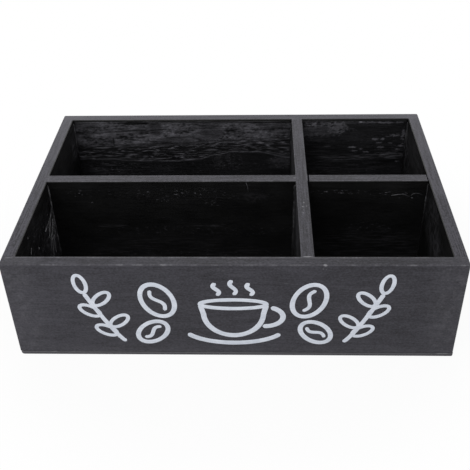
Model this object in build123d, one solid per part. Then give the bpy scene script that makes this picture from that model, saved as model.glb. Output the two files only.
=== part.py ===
from build123d import *
import os

# Coffee station organizer: a painted wooden tray with four open compartments.
#
# The front and back boards run the full width and lap the ends of the two sides. Inside, one
# divider runs from front to back and one from left to right. They cross in a half lap: the
# front-to-back one is notched from below and drops over a notch in the top of the other. A thin
# plywood base closes the tray from underneath. Everything is held by T-headed brads, set just
# under the surface, and the brad holes in the front board are stopped with filler.
#
# The frame is in millimetres. X runs to the right, Y to the back and Z up, and the origin is
# the middle of the underside.

# Overall size of the tray, outside.
tray_width = 300.0
tray_depth = 205.0
tray_height = 80.0

# Stock that it is made from.
board_thickness = 9.0
base_thickness = 3.0

# Where the two dividers stand, from the middle of the tray to their own middle planes.
long_divider_offset = 48.2
cross_divider_offset = 1.0

# Fit of the dividers. The cross divider is pushed hard to the left, so both of its gaps are
# on the right: one beside the long divider, and one at the right side.
lap_side_gap = 1.2
cross_end_gap = 0.35
lap_clearance = 0.3
lap_height_share = 0.5

# How far the base stands out past the walls, all round.
base_overhang = 0.15

# Rounding that sanding leaves on the edges. The base is rounded further at its front left
# corner than at the others.
corner_radius = 1.4
worn_corner_radius = 3.0
rim_radius = 0.8
seam_radius = 0.35
underside_radius = 0.6

# T-headed brads, as driven by a nail gun.
brad_width = 1.25
brad_thickness = 1.0
brad_head_width = 2.0
brad_head_depth = 0.7
brad_point_length = 2.2
brad_point_width = 0.5
brad_set_depth = 0.4
wall_brad_length = 25.0
base_brad_length = 15.0

# Where the brads go, as shares of the piece that they are driven into: up the walls from the
# base, and along each piece from its middle.
wall_brad_shares = (0.2, 0.5, 0.8)
cross_brad_shares = (0.25, 0.75)
base_front_shares = (-0.44, -0.22, 0.0, 0.28, 0.44)
base_side_shares = (-0.32, 0.0, 0.32)
base_long_shares = (-0.27, 0.27)
base_cross_shares = (-0.34, -0.06, 0.34)

# How far a cutter runs past the wood that it cuts.
overrun = 1.0

# Two places closer than this share of the rim's radius are the same place.
same_place_share = 0.001

# Planes and spans that the pieces share.
left_face = -tray_width / 2
right_face = tray_width / 2
front_face = -tray_depth / 2
back_face = tray_depth / 2
left_inside = left_face + board_thickness
right_inside = right_face - board_thickness
front_inside = front_face + board_thickness
back_inside = back_face - board_thickness
wall_height = tray_height - base_thickness
lap_height = base_thickness + wall_height * lap_height_share
long_left = long_divider_offset - board_thickness / 2
long_right = long_divider_offset + board_thickness / 2
cross_front = cross_divider_offset - board_thickness / 2
cross_back = cross_divider_offset + board_thickness / 2
cross_end = right_inside - cross_end_gap

# Outward directions of the faces.
LEFT, RIGHT = Vector(-1, 0, 0), Vector(1, 0, 0)
FRONT, BACK = Vector(0, -1, 0), Vector(0, 1, 0)
UP, DOWN = Vector(0, 0, 1), Vector(0, 0, -1)


def plank(low, high):
    """A square-edged piece of wood between its lowest and highest corners."""
    low, high = Vector(*low), Vector(*high)
    size = high - low
    block = Box(size.X, size.Y, size.Z, align=(Align.MIN, Align.MIN, Align.MIN))
    return Pos(low) * block


def same(one, other):
    """Whether two lengths of the model are the same place."""
    return abs(one - other) < rim_radius * same_place_share


def eased(wood, start, end, first_normal, second_normal):
    """The wood with one straight edge sanded round between two points, where it is open."""
    start, end = Vector(*start), Vector(*end)
    along = (end - start).normalized()
    if first_normal.cross(second_normal).dot(along) < 0:
        first_normal, second_normal = second_normal, first_normal
    with BuildSketch(Plane(origin=start, x_dir=first_normal, z_dir=along)) as section:
        with BuildLine():
            Polyline(
                (-rim_radius, 0),
                (-rim_radius, overrun),
                (overrun, overrun),
                (overrun, -rim_radius),
                (0, -rim_radius),
            )
            RadiusArc((0, -rim_radius), (-rim_radius, 0), -rim_radius)
        make_face()
    return wood - extrude(section.sketch, (end - start).length, dir=along)


def sanded_loop(wood, level, radius, keep=lambda edge: True):
    """The wood with the edges round its flat face at one height rounded, where keep allows."""
    face = next(f for f in wood.faces().filter_by(Axis.Z) if same(f.center().Z, level))
    return fillet([e for e in face.edges() if keep(e)], radius)


def long_wall(outer, inner, normal):
    """The front or the back board, full width, with its outer edges rounded."""
    wood = plank(
        (left_face, min(outer, inner), base_thickness),
        (right_face, max(outer, inner), tray_height),
    )
    corners = [e for e in wood.edges().filter_by(Axis.Z) if same(e.center().Y, outer)]
    wood = fillet(corners, corner_radius)

    def outside(edge):
        return not same(edge.center().Y, inner)

    wood = sanded_loop(wood, tray_height, rim_radius, outside)
    wood = sanded_loop(wood, base_thickness, seam_radius, outside)
    for start, end in ((left_inside, long_left), (long_right, right_inside)):
        wood = eased(wood, (start, inner, tray_height), (end, inner, tray_height), -normal, UP)
    return wood


def short_wall(outer, inner, normal):
    """The left or the right side, which fits between the front and back boards."""
    wood = plank(
        (min(outer, inner), front_inside, base_thickness),
        (max(outer, inner), back_inside, tray_height),
    )

    def outside(edge):
        return same(edge.center().X, outer)

    wood = sanded_loop(wood, tray_height, rim_radius, outside)
    wood = sanded_loop(wood, base_thickness, seam_radius, outside)
    for start, end in ((front_inside, cross_front), (cross_back, back_inside)):
        wood = eased(wood, (inner, start, tray_height), (inner, end, tray_height), -normal, UP)
    return wood


def long_divider():
    """The divider that runs from front to back, notched from below for the other."""
    wood = plank(
        (long_left, front_inside, base_thickness), (long_right, back_inside, tray_height)
    )
    wood -= plank(
        (long_left - overrun, cross_front - lap_clearance, base_thickness - overrun),
        (long_right + overrun, cross_back + lap_clearance, lap_height + lap_clearance),
    )
    for face, normal in ((long_left, LEFT), (long_right, RIGHT)):
        for start, end in ((front_inside, cross_front), (cross_back, back_inside)):
            wood = eased(wood, (face, start, tray_height), (face, end, tray_height), normal, UP)
    return wood


def cross_divider():
    """The divider that runs from left to right, notched from above for the other."""
    wood = plank(
        (left_inside, cross_front, base_thickness), (cross_end, cross_back, tray_height)
    )
    notch_end = long_right + lap_side_gap
    wood -= plank(
        (long_left, cross_front - overrun, lap_height),
        (notch_end, cross_back + overrun, tray_height + overrun),
    )
    for face, normal in ((cross_front, FRONT), (cross_back, BACK)):
        for start, end in ((left_inside, long_left), (notch_end, cross_end)):
            wood = eased(wood, (start, face, tray_height), (end, face, tray_height), normal, UP)
    end_corners = ((cross_end, face, tray_height) for face in (cross_front, cross_back))
    return eased(wood, *end_corners, RIGHT, UP)


def base_panel():
    """The plywood that closes the tray from underneath, just wider and deeper than the walls."""
    wood = plank(
        (left_face - base_overhang, front_face - base_overhang, 0),
        (right_face + base_overhang, back_face + base_overhang, base_thickness),
    )

    def upright_edges():
        """The upright edges, with the one at the front left corner first."""
        edges = wood.edges().filter_by(Axis.Z)
        return sorted(edges, key=lambda edge: edge.center().X + edge.center().Y)

    wood = fillet(upright_edges()[1:], corner_radius)
    wood = fillet(upright_edges()[0], worn_corner_radius)
    wood = sanded_loop(wood, base_thickness, seam_radius)
    return sanded_loop(wood, 0, underside_radius)


def brad(length):
    """One brad, with its head's outer face at the origin and its point straight down -Z."""
    half, head, point = brad_width / 2, brad_head_width / 2, brad_point_width / 2
    outline = [
        (head, 0),
        (head, -brad_head_depth),
        (half, -brad_head_depth),
        (half, brad_point_length - length),
        (point, -length),
    ]
    outline += [(-across, down) for across, down in reversed(outline)]
    profile = Plane.XZ * make_face(Polyline(*outline, close=True))
    return extrude(profile, brad_thickness / 2, both=True)


def brad_pocket():
    """The hole that setting leaves over a brad's head, from the surface to the head."""
    return Box(
        brad_head_width,
        brad_thickness,
        brad_set_depth,
        align=(Align.CENTER, Align.CENTER, Align.MIN),
    )


def brad_places(points, normal, head_along):
    """Where brads stand, from points on a face: each head is set below the face."""
    return [
        Plane(origin=Vector(*point) - normal * brad_set_depth, x_dir=head_along, z_dir=normal)
        for point in points
    ]


def placed(shape, places):
    """Copies of one shape, one at each place."""
    return [place.location * shape for place in places]


def up_the_wall(shares):
    """Heights up a wall at these shares of it."""
    return [base_thickness + wall_height * share for share in shares]


def brad_groups():
    """Every brad of the tray by group: its places, its length and the wood that it enters."""
    side_middles = {
        "left": (left_face + left_inside) / 2,
        "right": (right_face + right_inside) / 2,
    }
    wall_middles = {
        "front": (front_face + front_inside) / 2,
        "back": (back_face + back_inside) / 2,
    }
    outer_faces = {"front": (front_face, FRONT), "back": (back_face, BACK)}
    groups = {}

    for wall, (face, normal) in outer_faces.items():
        heights = up_the_wall(wall_brad_shares)
        for side, middle in side_middles.items():
            points = [(middle, face, height) for height in heights]
            wood = (f"{wall}_board", f"{side}_side")
            places = brad_places(points, normal, RIGHT)
            groups[f"{wall}_{side}_corner_brads"] = (places, wall_brad_length, wood)
        points = [(long_divider_offset, face, height) for height in heights]
        wood = (f"{wall}_board", "front_to_back_divider")
        places = brad_places(points, normal, RIGHT)
        groups[f"divider_{wall}_brads"] = (places, wall_brad_length, wood)

    for side, face, normal in (("left", left_face, LEFT), ("right", right_face, RIGHT)):
        heights = up_the_wall(cross_brad_shares)
        points = [(face, cross_divider_offset, height) for height in heights]
        wood = (f"{side}_side", "left_to_right_divider")
        places = brad_places(points, normal, BACK)
        groups[f"divider_{side}_brads"] = (places, wall_brad_length, wood)

    rim_points = [
        (tray_width * share, middle, 0)
        for middle in wall_middles.values()
        for share in base_front_shares
    ]
    rim_places = brad_places(rim_points, DOWN, RIGHT)
    side_points = [
        (middle, tray_depth * share, 0)
        for middle in side_middles.values()
        for share in base_side_shares
    ]
    rim_places += brad_places(side_points, DOWN, BACK)
    rim_wood = ("base_panel", "front_board", "back_board", "left_side", "right_side")
    groups["base_rim_brads"] = (rim_places, base_brad_length, rim_wood)

    long_points = [(long_divider_offset, tray_depth * share, 0) for share in base_long_shares]
    cross_points = [(tray_width * share, cross_divider_offset, 0) for share in base_cross_shares]
    divider_places = brad_places(long_points, DOWN, BACK)
    divider_places += brad_places(cross_points, DOWN, RIGHT)
    divider_wood = ("base_panel", "front_to_back_divider", "left_to_right_divider")
    groups["base_divider_brads"] = (divider_places, base_brad_length, divider_wood)
    return groups


def main():
    """Builds every piece, drives the brads and writes one file for each node."""
    nodes = {
        "front_board": long_wall(front_face, front_inside, FRONT),
        "back_board": long_wall(back_face, back_inside, BACK),
        "left_side": short_wall(left_face, left_inside, LEFT),
        "right_side": short_wall(right_face, right_inside, RIGHT),
        "front_to_back_divider": long_divider(),
        "left_to_right_divider": cross_divider(),
        "base_panel": base_panel(),
    }
    plugs = []
    for name, (places, length, wood) in brad_groups().items():
        brads = placed(brad(length), places)
        pockets = placed(brad_pocket(), places)
        for piece in wood:
            nodes[piece] -= brads + pockets
        nodes[name] = Compound(children=brads)
        if "front_board" in wood and name != "base_rim_brads":
            plugs += pockets
    nodes["front_filler_plugs"] = Compound(children=plugs)

    os.makedirs("parts", exist_ok=True)
    for name, shape in nodes.items():
        export_step(shape, f"parts/{name}.step")


main()
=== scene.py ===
"""Dresses the coffee station organizer and sets it on its stage.

The boards, brads and base come from the frame and stay where they are. This script gives them
their two coats of paint, and adds what a brush, a saw and glue leave on such a tray: the white
painted motif on the front, the torn grain of the back board's inner face, the beads of glue and
paint in the corners, and the crumbs of paint on the rim. Sizes are in millimetres unless a name
says metres.
"""

import itertools
import logging
import math
from collections.abc import Callable, Iterable, Iterator, Mapping, Sequence
from dataclasses import dataclass
from enum import Enum
from typing import Any

import bpy
from mathutils import Matrix, Vector, noise


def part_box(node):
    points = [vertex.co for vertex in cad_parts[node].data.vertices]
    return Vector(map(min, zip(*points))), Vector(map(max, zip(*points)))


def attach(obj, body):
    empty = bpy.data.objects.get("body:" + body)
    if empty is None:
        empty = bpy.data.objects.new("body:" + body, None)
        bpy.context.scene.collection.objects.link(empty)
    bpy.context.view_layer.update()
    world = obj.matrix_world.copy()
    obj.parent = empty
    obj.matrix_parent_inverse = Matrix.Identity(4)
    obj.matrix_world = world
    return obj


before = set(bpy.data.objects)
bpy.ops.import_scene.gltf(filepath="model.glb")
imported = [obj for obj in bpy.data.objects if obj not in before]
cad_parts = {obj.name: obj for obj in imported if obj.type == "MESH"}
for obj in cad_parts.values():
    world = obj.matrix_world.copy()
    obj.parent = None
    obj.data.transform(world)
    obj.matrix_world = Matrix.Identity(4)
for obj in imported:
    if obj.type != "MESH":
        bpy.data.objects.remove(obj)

Colour = tuple[float, float, float, float]
Point = tuple[float, float, float]
Flat = tuple[float, float]
Shape = tuple[list[Point], list[list[int]]]

MM = 0.001  # in metres
ROOT = "root"  # the tray's only body
TORN = "torn"  # the mesh attribute that holds how pale sawn wood is: bare wood, and partly a painted highlight
HALF_WIDTH = 150.0  # the tray's
DEPTH = 200.0  # about the tray's
ARC_STEP = 6  # in degrees
CURL_STEPS = 18
FINER = 2.1  # how much finer each layer of fractal noise is than the last
WHITE: Colour = (1.0, 1.0, 1.0, 1.0)

log = logging.getLogger("organizer")


def paint(red: float, green: float, blue: float) -> Colour:
    """A paint's linear colour.

    Args:
        red: How much red it is mixed from on a screen, from 0 to 255.
        green: How much green.
        blue: How much blue.

    Returns:
        The colour, with its alpha.
    """
    shares = (value / 255 for value in (red, green, blue))
    linear = (s / 12.92 if s <= 0.04045 else ((s + 0.055) / 1.055) ** 2.4 for s in shares)
    return (*linear, 1.0)


class Link:
    """One output of a shader graph, to which Python's operators add Math nodes.

    Attributes:
        graph: The graph that it is in.
        socket: The output's socket.
    """

    def __init__(self, graph: "Graph", socket: bpy.types.NodeSocket) -> None:
        """Keeps the graph that the socket is in, and the socket."""
        self.graph = graph
        self.socket = socket

    def output(self, name: str) -> "Link":
        """Another output of the node that this one comes from."""
        return Link(self.graph, self.socket.node.outputs[name])

    def __add__(self, other: "Link | float") -> "Link":
        """This value plus another."""
        return self.graph.math("ADD", self, other)

    def __radd__(self, other: float) -> "Link":
        """A number plus this value."""
        return self.graph.math("ADD", other, self)

    def __sub__(self, other: "Link | float") -> "Link":
        """This value less another."""
        return self.graph.math("SUBTRACT", self, other)

    def __rsub__(self, other: float) -> "Link":
        """A number less this value."""
        return self.graph.math("SUBTRACT", other, self)

    def __mul__(self, other: "Link | float") -> "Link":
        """This value times another."""
        return self.graph.math("MULTIPLY", self, other)

    def __rmul__(self, other: float) -> "Link":
        """A number times this value."""
        return self.graph.math("MULTIPLY", other, self)

    def __truediv__(self, other: "Link | float") -> "Link":
        """This value over another."""
        return self.graph.math("DIVIDE", self, other)

    def __rtruediv__(self, other: float) -> "Link":
        """A number over this value."""
        return self.graph.math("DIVIDE", other, self)

    def __abs__(self) -> "Link":
        """This value without its sign."""
        return self.graph.math("ABSOLUTE", self)

    def least(self, other: "Link | float") -> "Link":
        """The smaller of this value and another."""
        return self.graph.math("MINIMUM", self, other)

    def most(self, other: "Link | float") -> "Link":
        """The larger of this value and another."""
        return self.graph.math("MAXIMUM", self, other)

    def rise(self, low: float, high: float) -> "Link":
        """A soft step of this value.

        Args:
            low: Where the step leaves 0.
            high: Where it reaches 1. It may be below low, and the step then falls.

        Returns:
            A value from 0 to 1.
        """
        settings = {"interpolation_type": "SMOOTHSTEP"}
        sockets = {"Value": self, "From Min": low, "From Max": high}
        return self.graph.add("ShaderNodeMapRange", settings, sockets)


class Graph:
    """The shader graph of a material or of the world.

    Attributes:
        tree: Its node tree.
    """

    def __init__(self, owner: bpy.types.Material | bpy.types.World) -> None:
        """Empties the owner's graph.

        Args:
            owner: What the graph shades.
        """
        owner.use_nodes = True
        self.tree = owner.node_tree
        self.tree.nodes.clear()

    def add(
        self,
        kind: str,
        settings: Mapping[str, Any] | None = None,
        sockets: Mapping[str | int, Any] | None = None,
        out: str | int = 0,
    ) -> Link | None:
        """Makes one node.

        Args:
            kind: The node's type.
            settings: Its properties, which are set first.
            sockets: The value or link of each input, by name or number.
            out: The output that is wanted, by name or number.

        Returns:
            That output, or None from a node without outputs.
        """
        node = self.tree.nodes.new(kind)
        for name, value in (settings or {}).items():
            setattr(node, name, value)
        for name, value in (sockets or {}).items():
            if isinstance(value, Link):
                self.tree.links.new(value.socket, node.inputs[name])
            else:
                node.inputs[name].default_value = value
        return Link(self, node.outputs[out]) if node.outputs else None

    def math(self, operation: str, *values: Link | float) -> Link:
        """A Math node on these values."""
        return self.add("ShaderNodeMath", {"operation": operation}, dict(enumerate(values)))

    def vector(self, operation: str, *values: Link | Point, out: str = "Vector") -> Link:
        """A Vector Math node on these vectors."""
        settings = {"operation": operation}
        return self.add("ShaderNodeVectorMath", settings, dict(enumerate(values)), out)

    def mix(self, share: Link | float, first: Link | Colour, second: Link | Colour) -> Link:
        """A colour between two others.

        Args:
            share: How much of the second colour there is.
            first: The colour at share 0.
            second: The colour at share 1.

        Returns:
            The mixed colour.
        """
        settings = {"data_type": "RGBA", "clamp_factor": True}
        return self.add("ShaderNodeMix", settings, {0: share, 6: first, 7: second}, out=2)

    def blend(self, share: Link, first: Link | float, second: Link | float) -> Link:
        """A number between two others, the second at share 1."""
        settings = {"data_type": "FLOAT", "clamp_factor": True}
        return self.add("ShaderNodeMix", settings, {0: share, 2: first, 3: second})


class Run(Enum):
    """The way that a board's grain runs, as the number of its axis.

    Attributes:
        ALONG_FRONT: From left to right.
        FRONT_TO_BACK: From the front to the back.
    """

    ALONG_FRONT = 0
    FRONT_TO_BACK = 1

    def ordered(self, along: float, across: float, up: float) -> Point:
        """Three values, given along, across and up a board, in the order X, Y, Z."""
        return (along, across, up) if self is Run.ALONG_FRONT else (across, along, up)


class Surface:
    """A shaded point of the tray: where it lies, in millimetres, and which way it faces.

    Attributes:
        graph: The graph of the material.
        run: The way that the grain runs.
        place: Where the point lies.
        axes: The same along X, Y and Z.
        facing: How far it faces along each of them.
    """

    def __init__(self, graph: Graph, run: Run = Run.ALONG_FRONT) -> None:
        """Adds the nodes that read the point.

        Args:
            graph: The graph of the material.
            run: The way that the grain runs.
        """
        metres = graph.add("ShaderNodeTexCoord", out="Object")
        sockets = {0: metres, "Scale": 1 / MM}
        place = graph.add("ShaderNodeVectorMath", {"operation": "SCALE"}, sockets)
        facing = graph.add("ShaderNodeNewGeometry", out="Normal")
        x = graph.add("ShaderNodeSeparateXYZ", sockets={0: place})
        facing_x = graph.add("ShaderNodeSeparateXYZ", sockets={0: facing})
        self.graph = graph
        self.run = run
        self.place = place
        self.axes = (x, x.output("Y"), x.output("Z"))
        self.facing = (facing_x, facing_x.output("Y"), facing_x.output("Z"))

    @property
    def along(self) -> Link:
        """The place along the board."""
        return self.axes[self.run.value]

    @property
    def height(self) -> Link:
        """The height above the table."""
        return self.axes[2]

    @property
    def facing_across(self) -> Link:
        """How far the surface faces the axis across the board."""
        return self.facing[1 - self.run.value]

    def noise(
        self,
        along: float,
        across: float,
        up: float,
        detail: float = 2.0,
        rough: float = 0.5,
        bend: float = 0.0,
        shift: float = 0.0,
    ) -> Link:
        """Noise with marks of these sizes, about 0.5 on average.

        Args:
            along: The size of its marks along the grain.
            across: Their size across the board's thickness.
            up: Their size up the board.
            detail: How many finer layers it has.
            rough: How strong the finer layers are.
            bend: How far the marks are drawn out of line.
            shift: Moves it, so that two noises of one size differ.

        Returns:
            The noise, from 0 to 1.
        """
        shares = self.run.ordered(1 / along, 1 / across, 1 / up)
        scaled = self.graph.vector("MULTIPLY", self.place, shares)
        sockets = {
            "Vector": self.graph.vector("ADD", scaled, (shift,) * 3),
            "Scale": 1.0,
            "Detail": detail,
            "Roughness": rough,
            "Distortion": bend,
        }
        return self.graph.add("ShaderNodeTexNoise", {"noise_dimensions": "3D"}, sockets)

    def distance(self, to: Point, mask: Point = (1.0, 1.0, 1.0)) -> Link:
        """How far the point is from a place or from a line.

        Args:
            to: The place, or any place on the line.
            mask: 1 for the axes that count and 0 for the one that the line runs along, or a
                share that stretches the distance along an axis.

        Returns:
            The distance.
        """
        there = tuple(value * kept for value, kept in zip(to, mask))
        here = self.graph.vector("MULTIPLY", self.place, mask)
        return self.graph.vector("DISTANCE", here, there, out="Value")


def blank(name: str, run: Run = Run.ALONG_FRONT) -> tuple[bpy.types.Material, Surface]:
    """A new material with this name and grain, and the shaded point in its empty graph."""
    made = bpy.data.materials.new(name)
    return made, Surface(Graph(made), run)


@dataclass
class Layer:
    """What one coat gives a point of the surface.

    Attributes:
        colour: Its base colour.
        roughness: How matt it is.
        relief: How high it stands, in millimetres.
    """

    colour: Link
    roughness: Link
    relief: Link

    def under(self, other: "Layer", share: Link) -> "Layer":
        """This coat with another over it.

        Args:
            other: The coat over it.
            share: Where the other one covers it, from 0 to 1.

        Returns:
            The two as one coat.
        """
        graph = share.graph
        return Layer(
            graph.mix(share, self.colour, other.colour),
            graph.blend(share, self.roughness, other.roughness),
            graph.blend(share, self.relief, other.relief),
        )

    def shaded(self, gloss: float = 0.5, metallic: Link | float = 0.0) -> None:
        """Finishes the graph with this coat as its surface.

        Args:
            gloss: The specular level.
            metallic: How much of the surface is bare metal.
        """
        graph = self.colour.graph
        sockets = {"Height": self.relief, "Distance": MM, "Strength": 1.0}
        bump = graph.add("ShaderNodeBump", sockets=sockets)
        skin = {
            "Base Color": self.colour,
            "Metallic": metallic,
            "Roughness": self.roughness,
            "Specular IOR Level": gloss,
            "Normal": bump,
        }
        shader = graph.add("ShaderNodeBsdfPrincipled", sockets=skin)
        graph.add("ShaderNodeOutputMaterial", sockets={"Surface": shader})


@dataclass(frozen=True)
class Arris:
    """An edge of a board that hands and cloths rub.

    Attributes:
        place: A point on it.
        mask: 1 for the two axes that the edge lies across, and 0 for its own.
        wear: How much paler the edge is painted, from 0 to 1: paint rubbed off, and partly a painted
            highlight along the rounded edge.
        reach: How far the rubbing goes.
    """

    place: Point
    mask: Point
    wear: float
    reach: float = 1.15


@dataclass(frozen=True)
class Chip:
    """A spot where the paint is knocked or crumbed.

    Attributes:
        place: Its middle.
        reach: How far it goes.
        pale: How pale it is, from 0 to 1.
        long: How much further it goes along the board.
        ragged: How uneven its outline is.
    """

    place: Point
    reach: float
    pale: float = 1.0
    long: float = 1.0
    ragged: float = 1.6


def rubbed_share(at: Surface, arrises: Sequence[Arris]) -> Link:
    """How much each point is rubbed.

    Args:
        at: The shaded point.
        arrises: The edges that are rubbed.

    Returns:
        A value from 0 to 1, broken up by noise.
    """
    broken = at.noise(6, 6, 6, detail=3, rough=0.7, shift=31).rise(0.42, 0.66)
    fine = at.noise(1.3, 1.3, 1.3, detail=2, rough=0.6, shift=41).rise(0.35, 0.7)
    total: Link | float = 0.0
    for arris in arrises:
        near = at.distance(arris.place, arris.mask).rise(arris.reach, arris.reach * 0.3)
        total = (near * arris.wear).most(total)
    return total * (0.35 + broken * 0.65) * (0.45 + fine * 0.55)


def knocked_share(at: Surface, chips: Sequence[Chip]) -> Link | float:
    """How much each point is knocked bare.

    Args:
        at: The shaded point.
        chips: The spots that are knocked.

    Returns:
        A value from 0 to 1, with crumbled outlines, or just 0 without chips.
    """
    crumbs = at.noise(1.2, 0.9, 0.9, detail=3, rough=0.7, shift=53) - 0.5
    total: Link | float = 0.0
    for chip in chips:
        stretch = at.run.ordered(1 / chip.long, 1.0, 1.0)
        reach = at.distance(chip.place, stretch) / chip.reach + crumbs * chip.ragged
        total = (reach.rise(1.0, 0.4) * chip.pale).most(total)
    return total


@dataclass(frozen=True)
class CharcoalCoat:
    """The matt charcoal coat of the outside and the rim.

    Attributes:
        deep: Where it is thick.
        pale: Where the wood shows through.
        rubbed: Its worn edges, partly a painted highlight along them; the same colour also paints the
            sheen on the rim's back corners.
        bare: Knocked spots.
        roughness: How matt it is.
        rim: How much paler the top of the rim is painted than the faces: painted light from above, and
            painted shade where it is below 0.
        back_sheen: How much paler the rim is painted towards the back corners: a painted sheen where the
            light grazes it.
        drift: How much darker the paint is painted with each millimetre to the right: painted shade
            where the light falls off.
        uneven: How uneven the rim's paint is.
    """

    deep: Colour = paint(30, 29, 34)
    pale: Colour = paint(73, 72, 79)
    rubbed: Colour = paint(104, 103, 109)
    bare: Colour = paint(188, 188, 192)
    roughness: float = 0.62
    rim: float = 0.1
    back_sheen: float = 0.4
    drift: float = 0.0
    uneven: float = 1.0

    def layer(self, at: Surface, arrises: Sequence[Arris], chips: Sequence[Chip]) -> Layer:
        """Paints the coat.

        Args:
            at: The shaded point.
            arrises: The edges that are rubbed.
            chips: The spots that are knocked.

        Returns:
            The coat.
        """
        graph = at.graph
        # The tone of the paint, which is less even on the rim.
        mottle = at.noise(46, 30, 24, detail=4, rough=0.6)
        grain = at.noise(26, 0.9, 0.9, detail=4, rough=0.65, bend=0.2)
        stipple = at.noise(1.7, 1.1, 1.1, detail=3, rough=0.65, shift=3)
        smear = at.noise(18, 5, 4, detail=3, rough=0.6, bend=0.8, shift=9)
        top = at.facing[2].rise(0.4, 0.9)
        more = top * self.uneven
        tone = 0.44 + (mottle - 0.5) * (0.55 + top * 0.25) + (stipple - 0.5) * (1.5 + more * 2)
        tone = tone + (smear - 0.5) * 0.7 + (grain - 0.5) * (0.7 + more * 2.7)
        # Painted light and shade: the tops are paler by rim, as if lit from above, and the paint is
        # darker to the right by drift, as if the light fell off there.
        tone = tone + top * self.rim - at.axes[0] * self.drift
        colour = graph.mix(tone, self.deep, self.pale)

        # Pores, dust in the brush marks, and a painted sheen on the rim towards its back corners.
        pores = at.noise(9, 0.5, 0.5, detail=2, rough=0.5, shift=17).rise(0.63, 0.72)
        colour = graph.mix(pores * 0.5, colour, self.deep)
        dust = at.noise(2.2, 0.9, 0.9, detail=2, rough=0.5, shift=37).rise(0.7, 0.8)
        colour = graph.mix(dust * 0.3, colour, self.rubbed)
        sideways = at.axes[0] / HALF_WIDTH
        corner = (at.axes[1] / DEPTH + 0.5) * (sideways * sideways * 0.75 + 0.25)
        colour = graph.mix(corner * top * self.back_sheen, colour, self.rubbed)

        # Wear on the edges, partly a painted highlight along them, and knocked spots.
        rub = rubbed_share(at, arrises)
        colour = graph.mix(rub, colour, self.rubbed)
        knock = knocked_share(at, chips)
        colour = graph.mix(knock, colour, self.bare)

        roughness = self.roughness + (mottle - 0.5) * 0.25 + (stipple - 0.5) * 0.25 - rub * 0.1
        relief = (grain - 0.5) * 0.07 + (stipple - 0.5) * 0.09 - pores * 0.04
        return Layer(colour, roughness, relief - rub * 0.03 + knock * 0.1)


class Mark(Enum):
    """What a saw or a dry brush leaves in a patch.

    Attributes:
        SPECKS: Short flecks of torn grain.
        STREAKS: Long scratches along the grain.
        SMEAR: A cloud of thin paint.
        HAIRS: Fine lines that cross.
    """

    SPECKS = "specks"
    STREAKS = "streaks"
    SMEAR = "smear"
    HAIRS = "hairs"

    def texture(self, at: Surface) -> Link:
        """Its pattern over a whole board.

        Args:
            at: The shaded point.

        Returns:
            A value from 0 to 1.
        """
        if self is Mark.SPECKS:
            return at.noise(3.6, 3.6, 0.9, detail=3, rough=0.6, shift=23).rise(0.585, 0.685)
        if self is Mark.STREAKS:
            return at.noise(15, 1.1, 1.1, detail=4, rough=0.6, bend=0.3, shift=13).rise(0.46, 0.64)
        if self is Mark.SMEAR:
            cloud = at.noise(9, 9, 5, detail=5, rough=0.68, bend=0.4, shift=19).rise(0.36, 0.6)
            return cloud * at.noise(22, 1.2, 1.2, detail=3, rough=0.6, shift=27).rise(0.3, 0.62)
        line = 1 - abs(at.noise(13, 13, 8, detail=3, rough=0.6, bend=0.7, shift=43) - 0.5) * 16
        cross = 1 - abs(at.noise(11, 11, 15, detail=2, rough=0.6, bend=0.9, shift=49) - 0.5) * 20
        return line.most(cross).most(0.0) * at.noise(4, 4, 4, detail=2, shift=47).rise(0.36, 0.56)


@dataclass(frozen=True)
class Patch:
    """An oval patch of an inner face where the wood shows through the black.

    Attributes:
        mark: What is seen in it.
        side: The face that it is on: 1 or -1 along the axis across the board.
        along: The place of its middle along the board.
        height: The height of its middle.
        long: Its half length.
        tall: Its half height.
        pale: How pale it is.
        lean: How far it climbs for each millimetre along.
    """

    mark: Mark
    side: float
    along: float
    height: float
    long: float
    tall: float
    pale: float
    lean: float = 0.0

    def share(self, at: Surface) -> Link:
        """How much of the patch reaches each point.

        Args:
            at: The shaded point.

        Returns:
            A value from 0 to 1.
        """
        run = (at.along - self.along) / self.long
        climb = (at.height - self.height - (at.along - self.along) * self.lean) / self.tall
        share = (run * run + climb * climb).rise(1.4, 0.35) * self.pale
        return share * (at.facing_across * self.side).rise(0.2, 0.5)


def patches(mark: Mark, side: float, *rows: tuple[float, ...]) -> Iterator[Patch]:
    """Patches with one mark on one face.

    Args:
        mark: What is seen in them.
        side: The face that they are on.
        rows: What comes after these two in each patch.

    Yields:
        The patches.
    """
    for row in rows:
        yield Patch(mark, side, *row)


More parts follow.
